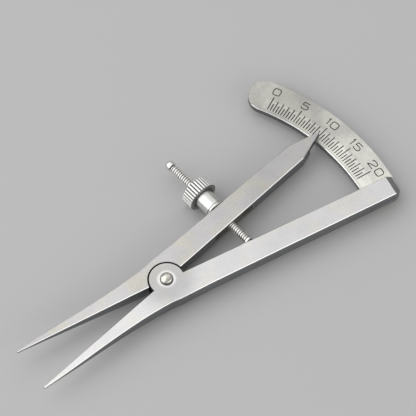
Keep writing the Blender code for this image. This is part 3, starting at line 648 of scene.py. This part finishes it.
def rounded(profile, reach, closed=False):
    """A profile whose corners are rounded off."""
    count = len(profile)
    result = []
    for i, point in enumerate(profile):
        here = Vector(point)
        if not closed and i in (0, count - 1):
            result.append(tuple(here))
            continue
        before = Vector(profile[i - 1]) - here
        after = Vector(profile[(i + 1) % count]) - here
        if before.angle(after) > STRAIGHT_ANGLE:
            result.append(tuple(here))
            continue
        start = here + before.normalized() * min(reach, before.length * ROUNDING_SHARE)
        end = here + after.normalized() * min(reach, after.length * ROUNDING_SHARE)
        for k in range(CORNER_STEPS + 1):
            t = k / CORNER_STEPS
            result.append(tuple(start * (1 - t) ** 2 + here * (2 * t * (1 - t)) + end * t ** 2))
    return result


def dome(radius, rim, top):
    """Profile of a dome from its apex down to its rim."""
    turns = [math.radians(90.0) * i / DOME_STEPS for i in range(1, DOME_STEPS + 1)]
    return [(0.0, top)] + [(radius * math.sin(turn), rim + (top - rim) * math.cos(turn))
                           for turn in turns]


def lathe(bm, profile, angles, closed=False, limit=None):
    """Turn a profile of (radius, height) about Z; a limit caps the radius at each angle."""
    rows = []
    for radius, height in profile:
        if radius == 0.0:
            rows.append([bm.verts.new((0.0, 0.0, height))] * len(angles))
            continue
        row = []
        for angle in angles:
            reach = min(radius, limit(angle)) if limit else radius
            row.append(bm.verts.new((reach * math.cos(angle), reach * math.sin(angle), height)))
        rows.append(row)
    pairs = list(zip(rows, rows[1:]))
    if closed:
        pairs.append((rows[-1], rows[0]))
    for first, second in pairs:
        for i in range(len(angles)):
            j = (i + 1) % len(angles)
            corners = []
            for vert in (first[i], second[i], second[j], first[j]):
                if vert not in corners:
                    corners.append(vert)
            if len(corners) > 2:
                bm.faces.new(corners)


def even_angles(count=ROUND_SEGMENTS):
    """Angles spread evenly round a turn."""
    return [math.tau * i / count for i in range(count)]


def fine_piece(name, bm, place, node, body, material):
    """A smooth piece in the CAD frame that stands for a node."""
    bmesh.ops.recalc_face_normals(bm, faces=bm.faces[:])
    bmesh.ops.transform(bm, matrix=place, verts=bm.verts)
    mesh = bpy.data.meshes.new(name)
    bm.to_mesh(mesh)
    bm.free()
    mesh.shade_smooth()
    mesh.set_sharp_from_angle(angle=SHARP_ANGLE)
    mesh.materials.append(material)
    piece = bpy.data.objects.new(name, mesh)
    bpy.context.scene.collection.objects.link(piece)
    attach(piece, body)
    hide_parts(node)


def screw_place():
    """The frame whose Z runs along the screw from its swivel, with the rest of it level."""
    level = UPRIGHT.cross(SCREW_AXIS).normalized()
    turn = Matrix((level, SCREW_AXIS.cross(level), SCREW_AXIS)).transposed().to_4x4()
    return Matrix.Translation(SCREW_FOOT) @ turn


def thread(bm):
    """One continuous helical surface from inside the collar to the cap, plain at both ends."""
    root = THREAD_RADIUS - THREAD_DEPTH
    steps = len(THREAD_RISE_SHARES)
    turns = math.ceil((THREAD_END - THREAD_START) / THREAD_PITCH) + 1
    angles = even_angles(THREAD_SEGMENTS)
    rows = []
    for j in range((turns + 1) * steps):
        row = []
        for angle in angles:
            height = THREAD_START + (j / steps + angle / math.tau - 1.0) * THREAD_PITCH
            reach = min(height - THREAD_START, THREAD_FADE - height) / THREAD_RUN_OUT
            kept = min(1.0, max(0.0, reach))
            radius = root + THREAD_DEPTH * THREAD_RISE_SHARES[j % steps] * kept
            height = min(THREAD_END, max(THREAD_START, height))
            row.append(bm.verts.new((radius * math.cos(angle), radius * math.sin(angle), height)))
        rows.append(row)
    count = len(angles)
    for j in range(len(rows) - 1):
        for i in range(count - 1):
            bm.faces.new((rows[j][i], rows[j][i + 1], rows[j + 1][i + 1], rows[j + 1][i]))
        if j + steps + 1 < len(rows):
            bm.faces.new((rows[j][-1], rows[j + steps][0], rows[j + steps + 1][0], rows[j + 1][-1]))
    made = [vert for row in rows for vert in row]
    bmesh.ops.remove_doubles(bm, verts=made, dist=MERGE_DISTANCE)
    rims = [edge for edge in bm.edges if edge.is_boundary]
    bmesh.ops.holes_fill(bm, edges=rims, sides=THREAD_SEGMENTS)
    loose = [vert for vert in bm.verts if not vert.link_faces]
    bmesh.ops.delete(bm, geom=loose, context="VERTS")


def make_fine_screw(material):
    """Screw: swivel eye, neck, collar and a fine thread."""
    bm = bmesh.new()
    shank = [(0.0, COLLAR_END), (COLLAR_RADIUS, COLLAR_END), (COLLAR_RADIUS, COLLAR_START),
             (NECK_RADIUS, COLLAR_START), (NECK_RADIUS, EYE_BORE), (0.0, EYE_BORE)]
    lathe(bm, rounded(shank, EDGE_ROUNDING), even_angles())
    thread(bm)
    spigot = [(0.0, SPIGOT_END), (SPIGOT_RADIUS, SPIGOT_END), (SPIGOT_RADIUS, SPIGOT_START),
              (0.0, SPIGOT_START)]
    lathe(bm, spigot, even_angles(THREAD_SEGMENTS))
    half = EYE_HEIGHT / 2
    ring = [(EYE_BORE, half), (EYE_RADIUS, half), (EYE_RADIUS, -half), (EYE_BORE, -half)]
    eye = bmesh.new()
    lathe(eye, rounded(ring, EDGE_ROUNDING, closed=True), even_angles(), closed=True)
    bmesh.ops.rotate(eye, matrix=Matrix.Rotation(math.radians(90.0), 3, "X"), verts=eye.verts)
    held = bpy.data.meshes.new("eye")
    eye.to_mesh(held)
    eye.free()
    bm.from_mesh(held)
    bpy.data.meshes.remove(held)
    fine_piece("screw_fine", bm, screw_place(), "adjusting_screw", "screw", material)


def make_fine_cap(material):
    """Domed cap with a rounded foot."""
    bm = bmesh.new()
    profile = dome(CAP_RADIUS, CAP_STRAIGHT, CAP_LENGTH)
    profile += rounded([(CAP_RADIUS, CAP_STRAIGHT), (CAP_RADIUS, 0.0), (CAP_BORE, 0.0),
                        (CAP_BORE, CAP_BORE_END), (0.0, CAP_BORE_END)], EDGE_ROUNDING)[1:]
    lathe(bm, profile, even_angles())
    place = screw_place() @ Matrix.Translation((0.0, 0.0, CAP_PLACE))
    fine_piece("end_cap_fine", bm, place, "screw_end_cap", "screw", material)


def make_fine_washer(material):
    """Washer with rounded edges."""
    bm = bmesh.new()
    ring = [(BORE_RADIUS, WASHER_THICKNESS), (WASHER_RADIUS, WASHER_THICKNESS), (WASHER_RADIUS, 0.0),
            (BORE_RADIUS, 0.0)]
    lathe(bm, rounded(ring, EDGE_ROUNDING, closed=True), even_angles(), closed=True)
    place = screw_place() @ Matrix.Translation((0.0, 0.0, WASHER_PLACE))
    fine_piece("washer_fine", bm, place, "nut_washer", "nut_carrier", material)


def knurl_radius(angle):
    """The knurled ring's radius at an angle."""
    share = angle * KNURL_COUNT / math.tau % 1.0
    places = KNURL_PITCH_SHARES + (1.0,)
    depths = KNURL_DEPTH_SHARES + (1.0,)
    i = min(sum(1 for place in places if place <= share + KNURL_SLACK_SHARE) - 1, len(places) - 2)
    t = (share - places[i]) / (places[i + 1] - places[i])
    return KNURL_RADIUS - KNURL_DEPTH * (depths[i] + (depths[i + 1] - depths[i]) * t)


def make_fine_nut(material):
    """Thumb nut: sleeve, knurled ring with rounded ribs, and countersunk bore."""
    bm = bmesh.new()
    length = SLEEVE_LENGTH + KNURL_LENGTH
    profile = [(BORE_RADIUS, length - BORE_CHAMFER), (BORE_RADIUS + BORE_CHAMFER, length),
               (KNURL_RADIUS, length), (KNURL_RADIUS, SLEEVE_LENGTH), (SLEEVE_RADIUS, SLEEVE_LENGTH),
               (SLEEVE_RADIUS, 0.0), (BORE_RADIUS, 0.0)]
    angles = [math.tau * (i + share) / KNURL_COUNT for i in range(KNURL_COUNT)
              for share in KNURL_PITCH_SHARES]
    lathe(bm, rounded(profile, EDGE_ROUNDING, closed=True), angles, closed=True, limit=knurl_radius)
    place = screw_place() @ Matrix.Translation((0.0, 0.0, NUT_PLACE))
    fine_piece("thumb_nut_fine", bm, place, "thumb_nut", "nut", material)


def make_fine_rivet(material):
    """Rivet with a smooth dome, a rounded rim and a countersunk tail."""
    bm = bmesh.new()
    rim = RIVET_SEAT + RIVET_HEAD_RIM
    profile = dome(RIVET_HEAD_RADIUS, rim, RIVET_SEAT + RIVET_HEAD_HEIGHT)
    profile += rounded([(RIVET_HEAD_RADIUS, rim), (RIVET_HEAD_RADIUS, RIVET_SEAT),
                        (RIVET_RADIUS, RIVET_SEAT), (RIVET_RADIUS, RIVET_TAIL_DEPTH),
                        (RIVET_TAIL_RADIUS, 0.0), (0.0, 0.0)], EDGE_ROUNDING / 2)[1:]
    lathe(bm, profile, even_angles())
    fine_piece("rivet_fine", bm, Matrix.Identity(4), "pivot_rivet", "scale_side", material)


make_camera()
make_world()
make_floor()
for lamp_name, lamp in LAMPS.items():
    softbox(lamp_name, *lamp)

dress("scale_arm", satin_steel("scale_arm_satin", burnished_ring_highlight, **SCALE_ARM_STEEL))
dress("pointer_arm", satin_steel("pointer_arm_satin", dark_recess, **POINTER_STEEL))
dress("scale_plate", satin_steel("scale_plate_satin", filled_engraving, **PLATE_STEEL))
dress("swivel_pin", turned_steel("pin_ground", SCREW_FOOT, UPRIGHT, **PIN_STEEL))
make_fine_screw(turned_steel("screw_thread", SCREW_FOOT, SCREW_AXIS, **SCREW_STEEL))
make_fine_cap(turned_steel("cap_polished", SCREW_FOOT, SCREW_AXIS, **CAP_STEEL))
make_fine_washer(turned_steel("washer_polished", SCREW_FOOT, SCREW_AXIS, **CAP_STEEL))
make_fine_nut(turned_steel("nut_polished", SCREW_FOOT, SCREW_AXIS, **NUT_STEEL))
make_fine_rivet(turned_steel("rivet_polished", PIVOT, UPRIGHT, **RIVET_STEEL))
bpy.context.scene.view_settings.view_transform = "Standard"
